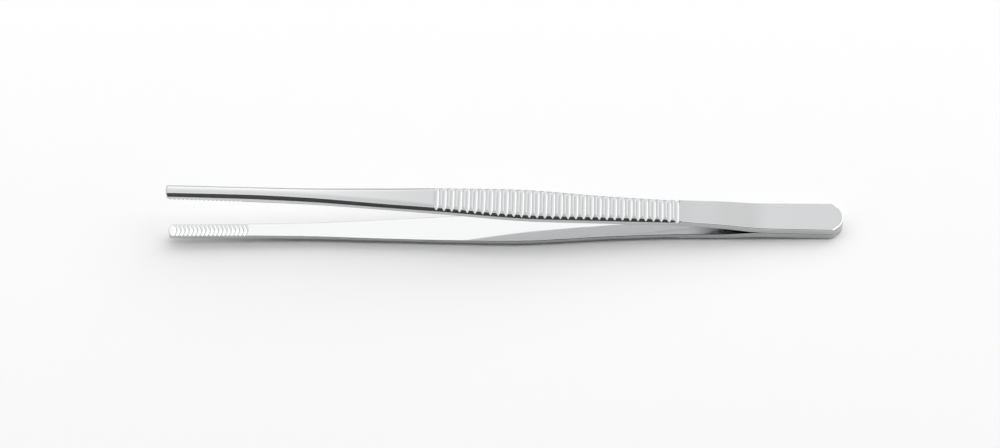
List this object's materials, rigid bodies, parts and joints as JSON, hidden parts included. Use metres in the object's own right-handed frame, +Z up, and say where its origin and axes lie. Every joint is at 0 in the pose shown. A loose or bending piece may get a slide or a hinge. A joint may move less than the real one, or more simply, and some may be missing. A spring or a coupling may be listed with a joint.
{
  "type": "thumb forceps",
  "caption": "Straight dressing thumb forceps: spring blades welded at a flat butt, ridged bowed grip, slender round tips with toothed jaws.",
  "frame": {"origin": "on the surface the forceps lie on, under the middle of their bounding box", "axes": "+X along the length towards the butt, with the tips at -X; +Y across the blades; +Z up, with the forceps lying on the back of the lower blade"},
  "size_m": [0.1602, 0.0096, 0.0174],
  "materials": {
    "upper_blade_steel": "satin outer face, polished inner face",
    "lower_blade_steel": "satin outer face, polished inner face"
  },
  "bodies": {
    "root": {"upper_blade": "upper_blade_steel", "lower_blade": "lower_blade_steel"}
  },
  "joints": []
}
